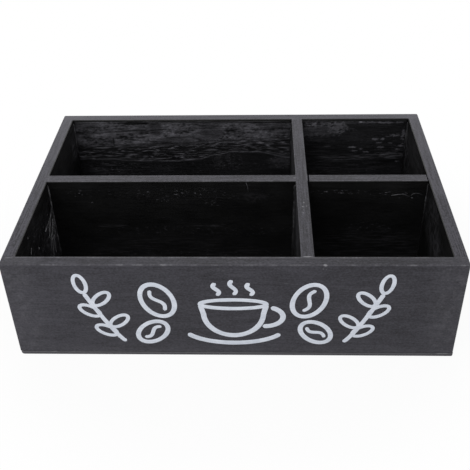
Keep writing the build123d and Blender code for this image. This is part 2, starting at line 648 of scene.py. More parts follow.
@dataclass(frozen=True)
class BlackCoat:
    """The thin black coat of the inside, over sawn wood that drank it unevenly.

    Attributes:
        deep: Where it is thick.
        pale: Where it is thin.
        dry: Where the brush left the wood almost bare; it also paints the highlights on the back board's
            torn grain and the light in the left side's shaded corners.
        foot: How much thinner it lies towards the base.
        brim: How much thicker it lies just under the rim.
        roughness: How matt it is.
        patches: Where marks show through it.
        foot_fade: The heights from which it thins and where it is thinnest.
        brim_fade: The heights from which it thickens and where it is thickest.
    """

    deep: Colour = paint(8, 8, 8)
    pale: Colour = paint(19, 19, 20)
    dry: Colour = paint(120, 119, 126)
    foot: float = 0.55
    brim: float = 0.5
    roughness: float = 0.46
    patches: tuple[Patch, ...] = ()
    foot_fade: Flat = (46.0, 8.0)
    brim_fade: Flat = (76.5, 78.5)

    def layer(self, at: Surface) -> Layer:
        """Paints the coat.

        Args:
            at: The shaded point.

        Returns:
            The coat.
        """
        graph = at.graph
        cloud = at.noise(34, 34, 17, detail=3, rough=0.6, shift=5)
        sawn = at.noise(17, 1.2, 1.2, detail=5, rough=0.62, bend=0.5, shift=7)
        thin = (cloud - 0.5) * 0.9 + (sawn - 0.5) * 1.6 + 0.42
        thin = thin + at.height.rise(*self.foot_fade) * self.foot
        thin = thin - at.height.rise(*self.brim_fade) * self.brim
        colour = graph.mix(thin, self.deep, self.pale)

        # Wood that shows through: torn grain, whose paleness is partly a painted highlight, and the
        # marks of the patches, a few of which are painted light in shaded corners.
        torn = graph.add("ShaderNodeAttribute", {"attribute_name": TORN}, out="Fac")
        crisp = at.noise(2.4, 2.4, 0.8, detail=2, rough=0.6, shift=83)
        dry = torn * (0.25 + crisp * 1.5)
        for mark in Mark:
            shares = [patch.share(at) for patch in self.patches if patch.mark is mark]
            if shares:
                dry = dry + mark.texture(at) * sum(shares)
        dry = dry.least(1.0)
        colour = graph.mix(dry, colour, self.dry)
        roughness = self.roughness + (cloud - 0.5) * 0.4 + (sawn - 0.5) * 0.25 + dry * 0.2
        return Layer(colour, roughness, (sawn - 0.5) * 0.2 + dry * 0.08)


@dataclass(frozen=True)
class BoardFinish:
    """The two coats of one board.

    Attributes:
        name: The board's node.
        run: The way that its grain runs.
        inner: The side that is inside the tray: 1 or -1 along the axis across the board, or 0
            where both are.
        outside: Its charcoal coat.
        inside: Its black coat.
        chips: Where the charcoal is knocked.
        lap: Where on the rounded arris the black begins and where it is full, as the sine of
            the arris's slope.
        worn: How much paler the two edges of its rim are painted: rubbed paint, and partly a painted
            highlight.
        inset: How far the rubbing of the rim's inner edge lies in from the face.
    """

    name: str
    run: Run
    inner: int
    outside: CharcoalCoat = CharcoalCoat()
    inside: BlackCoat = BlackCoat()
    chips: tuple[Chip, ...] = ()
    lap: Flat = (0.02, 0.2)
    worn: float = 0.25
    inset: float = 1.3

    def arrises(self) -> Iterator[Arris]:
        """The rubbed edges of this board, from its box.

        Yields:
            Those of the rim first, then the foot and the upright corners.
        """
        low, high = (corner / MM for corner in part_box(self.name))
        along, across = self.run.value, 1 - self.run.value
        ends = (low[along], high[along])
        faces = {-1: low[across], 1: high[across]}
        lengthways = self.run.ordered(0.0, 1.0, 1.0)
        for side, face in faces.items():
            inset = self.inset if side == self.inner else 0.0
            yield Arris(self.run.ordered(0.0, face - side * inset, high.z), lengthways, self.worn)
        if not self.inner:
            for end in ends:
                place = self.run.ordered(end, 0.0, high.z)
                yield Arris(place, self.run.ordered(1.0, 0.0, 1.0), wear=0.5, reach=1.2)
            return
        outer = faces[-self.inner]
        foot = self.run.ordered(0.0, outer, low.z)
        yield Arris(foot, lengthways, wear=0.4)
        yield Arris(foot, lengthways, wear=0.22, reach=9.0)
        if self.run is Run.ALONG_FRONT:
            for end in ends:
                corner = (end, outer, 0.0)
                yield Arris(corner, (1.0, 1.0, 0.0), wear=0.6)
                yield Arris(corner, (1.0, 1.0, 0.0), wear=0.35, reach=30.0)
                yield Arris((end, 0.0, high.z), (1.0, 0.0, 1.0), wear=0.6)

    def inside_share(self, at: Surface) -> Link:
        """How much of the black coat covers each point: it laps raggedly over the inner arris.

        Args:
            at: The shaded point.

        Returns:
            A value from 0 to 1.
        """
        facing = at.facing_across
        facing = facing * float(self.inner) if self.inner else abs(facing)
        ragged = (at.noise(5, 5, 5, detail=3, rough=0.6, shift=61) - 0.5) * 0.3
        return (facing + ragged * facing.rise(0.0, 0.3)).rise(*self.lap)

    def material(self) -> bpy.types.Material:
        """Mixes the board's paint.

        Returns:
            The material, with the black coat over the charcoal one.
        """
        made, at = blank(f"{self.name}_paint", self.run)
        charcoal = self.outside.layer(at, list(self.arrises()), self.chips)
        charcoal.under(self.inside.layer(at), self.inside_share(at)).shaded(gloss=0.25)
        return made


@dataclass(frozen=True)
class PlywoodFinish:
    """The base panel: black above and below, with its plies showing through at the edge.

    Attributes:
        name: The panel's node.
        coat: Its black coat.
        chips: Where its edge is knocked.
        edge_deep: Where the paint on the edge is thick.
        edge_pale: Where the plies show through it.
    """

    name: str = "base_panel"
    coat: BlackCoat = BlackCoat(pale=paint(26, 26, 28))
    chips: tuple[Chip, ...] = ()
    edge_deep: Colour = paint(44, 43, 47)
    edge_pale: Colour = paint(98, 97, 102)

    def material(self) -> bpy.types.Material:
        """Mixes the panel's paint.

        Returns:
            The material, with the black coat on its faces and the plies round its edge.
        """
        made, at = blank(f"{self.name}_paint")
        face = self.coat.layer(at)
        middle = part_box(self.name)[1].z / MM / 2
        core = abs(at.height - middle).rise(0.75, 0.35)
        fibre = at.noise(14, 14, 0.35, detail=3, rough=0.6, shift=71)
        crush = at.noise(1.2, 1.2, 0.6, detail=3, rough=0.6, shift=73)
        tone = (fibre - 0.5) * 1.1 + (crush - 0.5) * 0.9 - core * 0.35 + 0.62
        colour = at.graph.mix(tone, self.edge_deep, self.edge_pale)
        relief = (fibre - 0.5) * 0.06 + (crush - 0.5) * core * 0.2 - core * 0.08
        colour = at.graph.mix(knocked_share(at, self.chips), colour, CharcoalCoat.bare)
        edge = Layer(colour, 0.66 + (crush - 0.5) * 0.3, relief)
        face.under(edge, abs(at.facing[2]).rise(0.8, 0.3)).shaded(gloss=0.4)
        return made


@dataclass(frozen=True)
class SteelFinish:
    """Zinc-plated wire with paint in its hollows.

    Attributes:
        wire: The bright zinc.
        dull: Where it is scuffed.
        painted: The paint over it.
    """

    wire: Colour = paint(168, 168, 172)
    dull: Colour = paint(120, 120, 126)
    painted: Colour = paint(38, 38, 41)

    def material(self) -> bpy.types.Material:
        """Plates the brads.

        Returns:
            The material.
        """
        made, at = blank("brad_steel")
        cover = at.noise(1.1, 1.1, 1.1, detail=3, rough=0.6).rise(0.36, 0.5)
        scuff = at.noise(0.5, 0.5, 0.5, detail=2)
        steel = at.graph.mix(scuff, self.wire, self.dull)
        colour = at.graph.mix(cover, steel, self.painted)
        Layer(colour, 0.34 + cover * 0.3, scuff * 0.04).shaded(metallic=1 - cover)
        return made


@dataclass(frozen=True)
class WhitePaint:
    """The brushed white paint of the motif, a little thin where the brush ran dry.

    Attributes:
        name: Its name.
        thick: Where it is thick.
        thin: Where it is thin.
        ground: What shows through its pinholes.
    """

    name: str = "white_paint"
    thick: Colour = paint(226, 231, 241)
    thin: Colour = paint(192, 199, 212)
    ground: Colour = paint(96, 96, 102)

    def material(self) -> bpy.types.Material:
        """Mixes the motif's paint.

        Returns:
            The material.
        """
        made, at = blank(self.name)
        cover = at.noise(5, 5, 3, detail=4, rough=0.6)
        hair = at.noise(9, 1, 0.5, detail=3, rough=0.6, bend=0.4, shift=3)
        pin = at.noise(0.7, 0.7, 0.7, detail=2, rough=0.5, shift=19).rise(0.74, 0.8)
        tone = (cover - 0.5) * 1.5 + (hair - 0.5) * 0.8 + 0.3
        colour = at.graph.mix(tone, self.thick, self.thin)
        colour = at.graph.mix(pin * 0.6, colour, self.ground)
        relief = (hair - 0.5) * 0.05 + (cover - 0.5) * 0.04 - pin * 0.04
        Layer(colour, 0.52 + (hair - 0.5) * 0.3, relief).shaded(gloss=0.35)
        return made


def placed(name: str, data: bpy.types.ID) -> bpy.types.Object:
    """Adds an object to the scene.

    Args:
        name: Its name.
        data: Its mesh, lamp or camera.

    Returns:
        The object.
    """
    made = bpy.data.objects.new(name, data)
    bpy.context.scene.collection.objects.link(made)
    return made


def add_piece(
    name: str,
    points: Sequence[Point],
    faces: Sequence[Sequence[int]],
    material: bpy.types.Material,
) -> bpy.types.Object:
    """Makes a smooth mesh that rides on the tray.

    Args:
        name: The piece's name.
        points: Its points, in millimetres in the frame.
        faces: Its faces, as numbers of points.
        material: Its finish.

    Returns:
        The piece.
    """
    mesh = bpy.data.meshes.new(name)
    mesh.from_pydata([Vector(point) * MM for point in points], [], faces)
    mesh.validate()
    mesh.shade_smooth()
    mesh.materials.append(material)
    piece = placed(name, mesh)
    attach(piece, ROOT)
    log.info("%s: %d faces", name, len(mesh.polygons))
    return piece


def joined(shapes: Iterable[Shape]) -> Shape:
    """Several shapes as one.

    Args:
        shapes: The points and the faces of each.

    Returns:
        The points and the faces of all.
    """
    points: list[Point] = []
    faces: list[list[int]] = []
    for more, sides in shapes:
        faces += [[number + len(points) for number in side] for side in sides]
        points += more
    return points, faces


def ring_faces(order: Sequence[int], rings: int, closed: bool = False) -> list[list[int]]:
    """The faces that join a row of rings of points.

    Args:
        order: The numbers of a ring's points, in their order round it.
        rings: How many rings there are.
        closed: Whether the last ring joins the first. Both ends are capped where it doesn't.

    Returns:
        The faces.
    """
    wide = len(order)
    pairs = [*zip(order, [*order[1:], order[0]])]
    faces: list[list[int]] = []
    for number in range(rings if closed else rings - 1):
        here, there = number * wide, (number + 1) % rings * wide
        faces += [[here + one, here + two, there + two, there + one] for one, two in pairs]
    if not closed:
        faces.append([*reversed(order)])
        faces.append([(rings - 1) * wide + one for one in order])
    return faces


def clamp(value: float, low: float = 0.0, high: float = 1.0) -> float:
    """The value, kept between two limits."""
    return min(max(value, low), high)


def bell(offset: float, width: float) -> float:
    """A smooth bump that is 1 at offset 0 and fades over this width."""
    return math.exp(-((offset / width) ** 2))


def rising(offset: float, steep: float) -> float:
    """A smooth step from 0 to 1 about offset 0."""
    return 1 / (1 + math.exp(-offset * steep))


def wobble(seed: float, place: float, size: float) -> float:
    """Smooth noise from about -1 to 1 along a line, with waves of this size."""
    return noise.noise(Vector((place / size, seed * 7.31, seed * 3.77)))


@dataclass
class Stroke:
    """One stroke of a loaded brush on a flat face.

    Attributes:
        line: The points of its middle, to the right and up on the face.
        width: How wide the brush is.
        closed: Whether it ends where it begins.
        thickness: How thick the paint is in the middle.
        sunk: How far its edges and its underside lie in the face.
        rows: How many points there are across it.
        uneven: How far its edge strays, as a share of its half width.
        wave: How long the waves of its edge are.
        step: How far apart its rings of points are.
        under: How wide its underside is, as a share of its width.
        tip: How wide it is at its very ends, as a share of its width.
    """

    line: Sequence[Flat]
    width: float
    closed: bool = False
    thickness: float = 0.1
    sunk: float = 0.08
    rows: int = 9
    uneven: float = 0.09
    wave: float = 9.0
    step: float = 0.7
    under: float = 0.9
    tip: float = 0.02

    def evened(self) -> list[Vector]:
        """Evens out the middle line.

        Returns:
            Its points, a step apart.
        """
        knots = [Vector(point) for point in self.line]
        if self.closed:
            knots.append(knots[0])
        even = [knots[0]]
        for start, end in zip(knots, knots[1:]):
            count = max(1, round((end - start).length / self.step))
            even += [start.lerp(end, number / count) for number in range(1, count + 1)]
        return even[:-1] if self.closed else even

    def mesh(self, seed: float, at: Callable[[float, float, float], Point]) -> Shape:
        """The stroke as a thin closed film with a domed top and round ends.

        Args:
            seed: What makes its uneven edge differ from that of others.
            at: Gives the place of a point right, up and out on the face.

        Returns:
            Its points and its faces.
        """
        line = self.evened()
        count = len(line)
        lengths = [0.0]
        for start, end in zip(line, line[1:]):
            lengths.append(lengths[-1] + (end - start).length)
        points: list[Point] = []
        for number, middle in enumerate(line):
            before = line[number - 1] if number or self.closed else middle
            after = line[(number + 1) % count] if number + 1 < count or self.closed else middle
            side = (after - before).orthogonal().normalized()
            half = self.width / 2 * (1 + self.uneven * wobble(seed, lengths[number], self.wave))
            if not self.closed:
                left = half - min(lengths[number], lengths[-1] - lengths[number], half)
                half *= math.sqrt(max(1 - (left / half) ** 2, self.tip**2))
            for row in range(self.rows):
                share = 2 * row / (self.rows - 1) - 1
                spot = middle + side * half * share
                out = self.thickness * (1 - share**4) - self.sunk * share**4
                points.append(at(spot.x, spot.y, out))
            points.append(at(*(middle - side * half * self.under), -self.sunk))
            points.append(at(*(middle + side * half * self.under), -self.sunk))
        order = [*range(self.rows), self.rows + 1, self.rows]
        return points, ring_faces(order, count, self.closed)


def leaned(middle: Flat, right: float, up: float, lean: float) -> Flat:
    """A place beside a middle, turned about it.

    Args:
        middle: The middle.
        right: How far the place is to its right before the turn.
        up: How far it is above it.
        lean: How far it is turned to the left, in radians.

    Returns:
        The place.
    """
    return (
        middle[0] + right * math.cos(lean) - up * math.sin(lean),
        middle[1] + right * math.sin(lean) + up * math.cos(lean),
    )


def arc(centre: Flat, radii: Flat, start: float, end: float, turn: float = 0.0) -> list[Flat]:
    """Points on part of an oval.

    Args:
        centre: Its middle.
        radii: Its half width and half height.
        start: Where it begins, in degrees from the right, counted upwards.
        end: Where it ends.
        turn: How far the oval leans to the left, in degrees.

    Returns:
        The points.
    """
    count = max(8, round(abs(end - start) / ARC_STEP))
    points = []
    for number in range(count + 1):
        angle = math.radians(start + (end - start) * number / count)
        right, up = radii[0] * math.cos(angle), radii[1] * math.sin(angle)
        points.append(leaned(centre, right, up, math.radians(turn)))
    return points


def oval(centre: Flat, radii: Flat, turn: float = 0.0) -> list[Flat]:
    """Points all round an oval, the last one a step before the first."""
    return arc(centre, radii, 0, 360 - ARC_STEP, turn)


def curl(foot: Flat, rise: float, sway: float, turn: float = 0.0) -> list[Flat]:
    """Points on a wavy line that climbs from its foot.

    Args:
        foot: Where it begins.
        rise: How long it is.
        sway: How far it swings to each side.
        turn: How far it leans to the left, in degrees.

    Returns:
        The points.
    """
    points = []
    for number in range(CURL_STEPS + 1):
        share = number / CURL_STEPS
        right, up = sway * math.sin(share * math.tau), rise * share
        points.append(leaned(foot, right, up, math.radians(turn)))
    return points


@dataclass
class FrontMotif:
    """The white motif on the front: a steaming cup between coffee beans and leafy twigs.

    Attributes:
        face: The height of the motif's middle on the front face.
        brush: The width of a full stroke.
        leaf: Half the width and half the length of a leaf.
        stalk: How far a leaf's middle is from the stem.
        paint: What it is painted with.
    """

    face: float = 39.0
    brush: float = 4.4
    leaf: Flat = (3.7, 7.4)
    stalk: float = 8.2
    paint: WhitePaint = WhitePaint()

    def stroke(self, line: list[Flat], share: float = 1.0, closed: bool = False) -> Stroke:
        """A stroke along a line, with this share of the brush's width."""
        return Stroke(line, self.brush * share, closed)

    def cup(self) -> Iterator[Stroke]:
        """The cup on its saucer.

        Yields:
            Its bowl, its rim, its handle and the saucer.
        """
        yield self.stroke([(-22.0, 8.0), *arc((0, 0), (20, 20), 182, 358), (22.0, 8.0)])
        yield self.stroke(oval((0, 8), (22, 3.8)), 0.8, closed=True)
        yield self.stroke(arc((21, -3), (12, 8.5), 72, -98))
        yield self.stroke(arc((0, -13), (34, 14), 203, 337))

    def steam(self) -> Iterator[Stroke]:
        """Three curls of steam."""
        for right, foot, rise in ((-11.0, 15.5, 10.5), (0.0, 16.0, 12.5), (11.0, 15.5, 10.5)):
            yield self.stroke(curl((right, foot), rise, 2.0), 0.8)

    def bean(self, middle: Flat, tall: float, turn: float) -> Iterator[Stroke]:
        """One coffee bean.

        Args:
            middle: Where its middle is.
            tall: Its height before it leans.
            turn: How far it leans to the left, in degrees.

        Yields:
            Its outline and its crease.
        """
        yield self.stroke(oval(middle, (tall * 0.35, tall / 2), turn), 0.9, closed=True)
        drop = tall * 0.34
        foot = leaned(middle, 0.0, -drop, math.radians(turn))
        yield self.stroke(curl(foot, drop * 2, tall * 0.08, turn), 0.72)

    def twig(self, side: int) -> Iterator[Stroke]:
        """A leafy twig that curves up and outwards.

        Args:
            side: 1 for the right one and -1 for the left one.

        Yields:
            Its stem and its leaves.
        """
        def spot(share: float) -> Flat:
            """A place on the stem, from its foot at 0 to its tip at 1."""
            return (side * (74 + 24 * share), -26 + 43 * share**1.25)

        yield self.stroke([spot(number / 12) for number in range(13)], 0.85)
        for share, lean in ((0.22, 62), (0.4, -52), (0.62, 58), (0.8, -46), (1.0, 12)):
            turn = math.radians(90 - side * lean)
            middle = leaned(spot(share), self.stalk, 0.0, turn)
            leaf = oval(middle, self.leaf, math.degrees(turn) - 90)
            yield self.stroke(leaf, 0.72, closed=True)

    def build(self) -> None:
        """Paints the motif on the front board."""
        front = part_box("front_board")[0].y / MM
        material = self.paint.material()

        def at(right: float, up: float, out: float) -> Point:
            """A place on the front face."""
            return (right, front - out, self.face + up)

        groups = {
            "cup": self.cup(),
            "steam": self.steam(),
            "left_beans": (*self.bean((-50, 11), 29, 26), *self.bean((-55, -17), 23, -52)),
            "right_beans": (*self.bean((50, 11), 29, -26), *self.bean((55, -17), 23, 52)),
            "left_twig": self.twig(-1),
            "right_twig": self.twig(1),
        }
        seeds = itertools.count(1)
        for name, strokes in groups.items():
            points, faces = joined(stroke.mesh(next(seeds), at) for stroke in strokes)
            add_piece(f"painted_{name}", points, faces, material)


@dataclass(frozen=True)
class Thread:
    """A thin run of glue and paint on an inner face.

    Attributes:
        line: Its points, along the board and up.
        width: How wide it is.
    """

    line: tuple[Flat, ...]
    width: float


@dataclass(frozen=True)
class Threads:
    """The runs on one board's inner face.

    Attributes:
        name: The piece's name.
        node: The board.
        run: The way that the board runs.
        facing: The way that the face looks: 1 or -1 along the axis across the board.
        threads: The runs.
    """

    name: str
    node: str
    run: Run
    facing: int
    threads: tuple[Thread, ...]

    def build(self, material: bpy.types.Material) -> None:
        """Makes the runs as one piece.

        Args:
            material: Their finish.
        """
        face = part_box(self.node)[self.facing > 0][1 - self.run.value] / MM

        def at(right: float, up: float, out: float) -> Point:
            """A place on the face."""
            return self.run.ordered(right, face + self.facing * out, up)

        form = {"thickness": 0.14, "sunk": 0.04, "rows": 5, "uneven": 0.7}
        strokes = (Stroke(thread.line, thread.width, **form) for thread in self.threads)
        points, faces = joined(stroke.mesh(seed + 0.5, at) for seed, stroke in enumerate(strokes))
        add_piece(self.name, points, faces, material)


@dataclass(frozen=True)
class GrainLine:
    """A line that the grain follows along a board.

    Attributes:
        knots: Places along the board, each with the line's height there.
        fade: How far past its ends it dies out.
    """

    knots: tuple[Flat, ...]
    fade: float = 4.0

    def height(self, place: float) -> float:
        """How high the line is.

        Args:
            place: Where, along the board.

        Returns:
            The height.
        """
        before = self.knots[0]
        if place <= before[0]:
            return before[1]
        for after in self.knots[1:]:
            if place <= after[0]:
                share = (place - before[0]) / (after[0] - before[0])
                return before[1] + (after[1] - before[1]) * (3 - 2 * share) * share * share
            before = after
        return before[1]

    def strength(self, place: float) -> float:
        """How much there is of the line at a place: it dies out past its ends."""
        past = max(self.knots[0][0] - place, place - self.knots[-1][0], 0.0)
        return bell(past, self.fade)


@dataclass(frozen=True)
class Flake:
    """An uneven oval spot of a sawn face that is paler or darker than the rest.

    Attributes:
        place: The place of its middle along the board.
        height: The height of its middle.
        long: Its half length.
        tall: Its half height.
        bare: How much barer the wood is, or below 0 the share of its bareness that is painted over.
        crumbled: How uneven it is.
    """

    place: float
    height: float
    long: float
    tall: float
    bare: float
    crumbled: float = 1.2

    def share(self, place: float, height: float, crumb: float) -> float:
        """How much barer the wood is at a point.

        Args:
            place: Where the point is along the board.
            height: How high it is.
            crumb: The noise there, which crumbles the flake.

        Returns:
            Up to the flake's own bareness, or down to it where that is below 0.
        """
        run, climb = (place - self.place) / self.long, (height - self.height) / self.tall
        inside = 1.2 - run * run - climb * climb + crumb * self.crumbled
        return clamp(inside * 1.4) * self.bare


@dataclass
class SawnFace:
    """The rough-sawn inner face of the back board in one compartment, torn along its grain.

    Attributes:
        name: The piece's name.
        left: Where the compartment begins.
        right: Where it ends.
        seed: What makes it differ from other faces.
        torn_from: The foot of the band of torn grain.
        torn_to: The top of that band.
        thin: How pale the wood is above the torn grain: thin paint over bare wood, and partly a painted
            highlight where light falls on the upper face.
        torn: How pale its crests are: torn bare wood, and partly a painted highlight where they catch
            the light.
        cracks: Lines along which the saw lifted the grain.
        flakes: Spots that are paler or darker.
        step: The grid of the relief, along the grain and up.
        sunk: How far its borders lie in the board.
        proud: How far it stands out of the board at most.
        margin: How wide its border is.
        rim: How far it stops under the rim.
    """

    name: str
    left: float
    right: float
    seed: float
    torn_from: GrainLine
    torn_to: GrainLine
    thin: float
    torn: float
    cracks: tuple[GrainLine, ...] = ()
    flakes: tuple[Flake, ...] = ()
    step: Flat = (0.8, 0.45)
    sunk: float = 0.12
    proud: float = 0.5
    margin: float = 1.4
    rim: float = 1.2

    def ripple(self, place: float, height: float, marks: Flat, shift: float) -> float:
        """Smooth noise on the face, from about -1 to 1, with marks of this length and height."""
        return noise.noise(Vector((place / marks[0], height / marks[1], self.seed + shift)))

    def crumble(
        self,
        place: float,
        height: float,
        marks: Flat,
        shift: float,
        layers: int,
        rough: float = 0.5,
    ) -> float:
        """Noise on the face that is made of finer and finer layers.

        Args:
            place: Where the point is along the board.
            height: How high it is.
            marks: The length and height of the first layer's marks.
            shift: Moves it, so that two noises differ.
            layers: How many layers it has.
            rough: How fast the finer layers fade.

        Returns:
            The noise, from about -1 to 1.
        """
        at = Vector((place / marks[0], height / marks[1], self.seed + shift))
        return noise.fractal(at, rough, FINER, layers)

    def ridge(self, place: float, height: float) -> float:
        """How strongly torn grain stands up at a point of its band.

        Args:
            place: Where the point is along the board.
            height: How high it is.

        Returns:
            From 0 to 1: coarse crests, and finer ones where those fade.
        """
        drift = 1.2 * wobble(self.seed, place, 34)
        bend = 0.9 * self.ripple(place, height, (16, 8), 2)
        level = height + drift + bend
        wave = self.ripple(place, level, (15, 1.9), 5)
        fine = self.ripple(place, level, (8, 1.4), 15)
        there = self.ripple(place, height, (8.5, 1.9), 13)
        crest = max(1 - abs(wave) * 5.4, 0.0) * clamp(0.45 + there * 2.6)
        return max(crest, max(1 - abs(fine) * 6, 0.0) * clamp(0.1 - there * 2.2, 0.0, 0.6))

    def relief(self, place: float, height: float) -> Flat:
        """The wood's surface at a point of the face.

        Args:
            place: Where the point is along the board.
            height: How high it is.

        Returns:
            How far the wood stands out, as a share of the most, and how pale it is: bare wood, and
            partly a painted highlight.
        """
        over = height - self.torn_from.height(place)
        past = height - self.torn_to.height(place)
        sawn = self.crumble(place, height, (15, 1.5), 0, 4, rough=0.7)
        crumb = self.crumble(place, height, (2.4, 1.5), 11, 3)
        cloud = self.crumble(place, height, (18, 5.5), 7, 5)
        band = rising(over, 3) * rising(-past, 1.2)
        ridge = self.ridge(place, height)
        stand = 0.45 + sawn * (0.1 + 0.16 * (over > 0)) + band * (ridge * 0.45 - 0.3)
        # The paleness above the band and on its crests is bare wood and partly a painted highlight.
        bare = rising(past, 2.5) * self.thin * (1 + 1.1 * cloud + 0.9 * sawn + 0.9 * crumb)
        bare += band * ridge * self.torn
        shares = [flake.share(place, height, crumb) for flake in self.flakes]
        bare += sum(share for share in shares if share > 0)
        bare *= math.prod(1 + share for share in shares if share < 0)

        # The foot of the torn band: a pale lip under a dark gap.
        bare *= 1 - 0.6 * bell(over - 1.5, 0.6)
        lip = bell(over - 0.2, 0.42) * (0.6 + 0.7 * wobble(self.seed + 9, place, 6))
        stand += lip * 0.35
        bare += lip * self.torn * 0.5

        # Each crack is a dark groove over a lifted lip.
        for number, crack in enumerate(self.cracks):
            offset = height - crack.height(place) - 0.5 * wobble(self.seed + number, place, 17)
            deep = (0.6 + 0.5 * wobble(self.seed + 20 + number, place, 11)) * crack.strength(place)
            lifted = deep * bell(offset + 1.3, 0.6)
            stand += 0.25 * lifted - 0.5 * deep * bell(offset, 0.5)
            bare = (bare + self.torn * 0.25 * lifted) * (1 - 0.95 * deep * bell(offset, 0.7))
        return clamp(stand, 0.03), clamp(bare)

    def build(self, material: bpy.types.Material) -> None:
        """Makes the face.

        Args:
            material: The back board's paint.
        """
        low, high = (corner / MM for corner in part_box("back_board"))
        face, top = low.y, high.z - self.rim
        columns = round((self.right - self.left) / self.step[0])
        rows = round((top - low.z) / self.step[1])
        points, bareness = [], []
        for row in range(rows + 1):
            height = low.z + (top - low.z) * row / rows
            for column in range(columns + 1):
                place = self.left + (self.right - self.left) * column / columns
                ends = min(place - self.left, self.right - place, top - height) / self.margin
                fade = clamp(ends) ** 0.5
                stand, bare = self.relief(place, height)
                out = -self.sunk + (stand * self.proud + self.sunk) * fade
                points.append((place, face - out, height))
                bareness.append(bare * fade)
        wide = columns + 1
        faces = []
        for row in range(rows):
            for column in range(columns):
                corner = row * wide + column
                faces.append((corner, corner + 1, corner + wide + 1, corner + wide))
        piece = add_piece(self.name, points, faces, material)
        piece.data.attributes.new(TORN, "FLOAT", "POINT").data.foreach_set("value", bareness)


@dataclass(frozen=True)
class Bead:
    """A bead of glue and paint in an inside corner.

    Attributes:
        start: Where it begins, on the corner line.
        end: Where it ends.
        walls: The two ways out from the corner, along its walls.
        size: How far it reaches along each wall, on average.
        step: How far apart its rings of points are.
        rows: How many points its hollow face has across it.
        sunk: How far its back lies in each wall.
        taper: How far from its ends it begins to thin.
        tip: How thick it still is there, as a share.
        least: How thin it gets between its swellings, as a share.
    """

    start: Point
    end: Point
    walls: tuple[Point, Point]
    size: float
    step: float = 1.1
    rows: int = 5
    sunk: float = 0.12
    taper: float = 1.5
    tip: float = 0.05
    least: float = 0.3

    def mesh(self, seed: float) -> Shape:
        """The bead as a closed hollow-faced strip.

        Args:
            seed: What makes its swellings differ from those of others.

        Returns:
            Its points and its faces.
        """
        start, end = Vector(self.start), Vector(self.end)
        one, two = (Vector(wall) for wall in self.walls)
        length = (end - start).length
        count = max(4, round(length / self.step))
        sunk = (one + two) * -self.sunk
        points: list[Point] = []
        for number in range(count + 1):
            run = length * number / count
            taper = min(1.0, min(run, length - run) / self.taper + self.tip)
            swell = 1 + 0.45 * wobble(seed, run, 11) + 0.25 * wobble(seed + 40, run, 3.1)
            skew = 0.25 * wobble(seed + 80, run, 7)
            reach = self.size * max(swell, self.least) * taper
            spot = start.lerp(end, number / count)
            points.append(tuple(spot + sunk))
            for row in range(self.rows):
                turn = math.pi / 2 * row / (self.rows - 1)
                hollow_one = (1 - math.sin(turn)) * reach * (1 + skew)
                hollow_two = (1 - math.cos(turn)) * reach * (1 - skew)
                points.append(tuple(spot + one * hollow_one + two * hollow_two + sunk * 0.15))
        return points, ring_faces(range(self.rows + 1), count + 1)


@dataclass
class Compartment:
    """One of the four spaces, with the beads in its corners.

    Attributes:
        name: Which one it is.
        low: Its lowest corner.
        high: Its highest corner.
        sizes: How large the bead in each upright corner is, from the front left anticlockwise.
        stop: How far under the rim the beads end.
        floor_size: How large the beads round its floor are.
    """

    name: str
    low: Point
    high: Point
    sizes: tuple[float, ...] = (1.0, 1.0, 1.0, 1.0)
    stop: float = 3.0
    floor_size: float = 0.8

    def beads(self) -> Iterator[Bead]:
        """The beads in its corners.

        Yields:
            Those of the upright corners, and then those round its floor.
        """
        (x0, y0, z0), (x1, y1, z1) = self.low, self.high
        uprights = ((x0, y0, 1, 1), (x1, y0, -1, 1), (x1, y1, -1, -1), (x0, y1, 1, -1))
        for (x, y, right, back), share in zip(uprights, self.sizes):
            walls = ((right, 0, 0), (0, back, 0))
            size = (0.75 + 0.25 * wobble(x + y, 0, 1)) * share
            yield Bead((x, y, z0), (x, y, z1 - self.stop), walls, size)
        for y, back in ((y0, 1), (y1, -1)):
            yield Bead((x0, y, z0), (x1, y, z0), ((0, back, 0), (0, 0, 1)), self.floor_size)
        for x, right in ((x0, 1), (x1, -1)):
            yield Bead((x, y0, z0), (x, y1, z0), ((right, 0, 0), (0, 0, 1)), self.floor_size)

    def build(self, material: bpy.types.Material) -> None:
        """Makes the beads as one piece.

        Args:
            material: Their finish.
        """
        def seed(number: int) -> float:
            """What makes one bead differ from those of this space and the others."""
            return number + len(self.name) + self.low[0] * 0.1 + self.low[1] * 0.07

        points, faces = joined(bead.mesh(seed(number)) for number, bead in enumerate(self.beads()))
        add_piece(f"{self.name}_corner_beads", points, faces, material)


@dataclass(frozen=True)
class BeadFinish:
    """Glue that the black paint covers, shinier than the wood.

    Attributes:
        name: Its name.
        deep: Where the paint is thick.
        pale: Where the glue shows through; it is partly a painted highlight along the corner.
        foot: The heights between which the pale glue and highlight begin to show, if they don't show all
            the way.
        right: How much of it shows at the right side of its compartment, against the left.
        fading: The places across the tray between which it goes from left to right.
    """

    name: str
    deep: Colour
    pale: Colour
    foot: Flat | None = None
    right: float = 1.0
    fading: Flat = (-130.0, 30.0)

    def material(self) -> bpy.types.Material:
        """Mixes the paint over the glue.

        Returns:
            The material.
        """
        made, at = blank(self.name)
        patch = at.noise(6, 6, 6, detail=3, rough=0.6)
        fine = at.noise(0.8, 0.8, 0.8, detail=3, rough=0.6, shift=7)
        # The pale glue is partly a painted highlight along the corner, kept to the upper part and weaker
        # at one side.
        tone = patch.rise(0.4, 0.75) * 0.8 + fine * 0.3
        if self.foot:
            tone = tone * at.height.rise(*self.foot)
        if self.right < 1:
            tone = tone * (1 - at.axes[0].rise(*self.fading) * (1 - self.right))
        colour = at.graph.mix(tone, self.deep, self.pale)
        relief = (fine - 0.5) * 0.1 + (patch - 0.5) * 0.1
        Layer(colour, 0.34 + (patch - 0.5) * 0.4, relief).shaded()
        return made


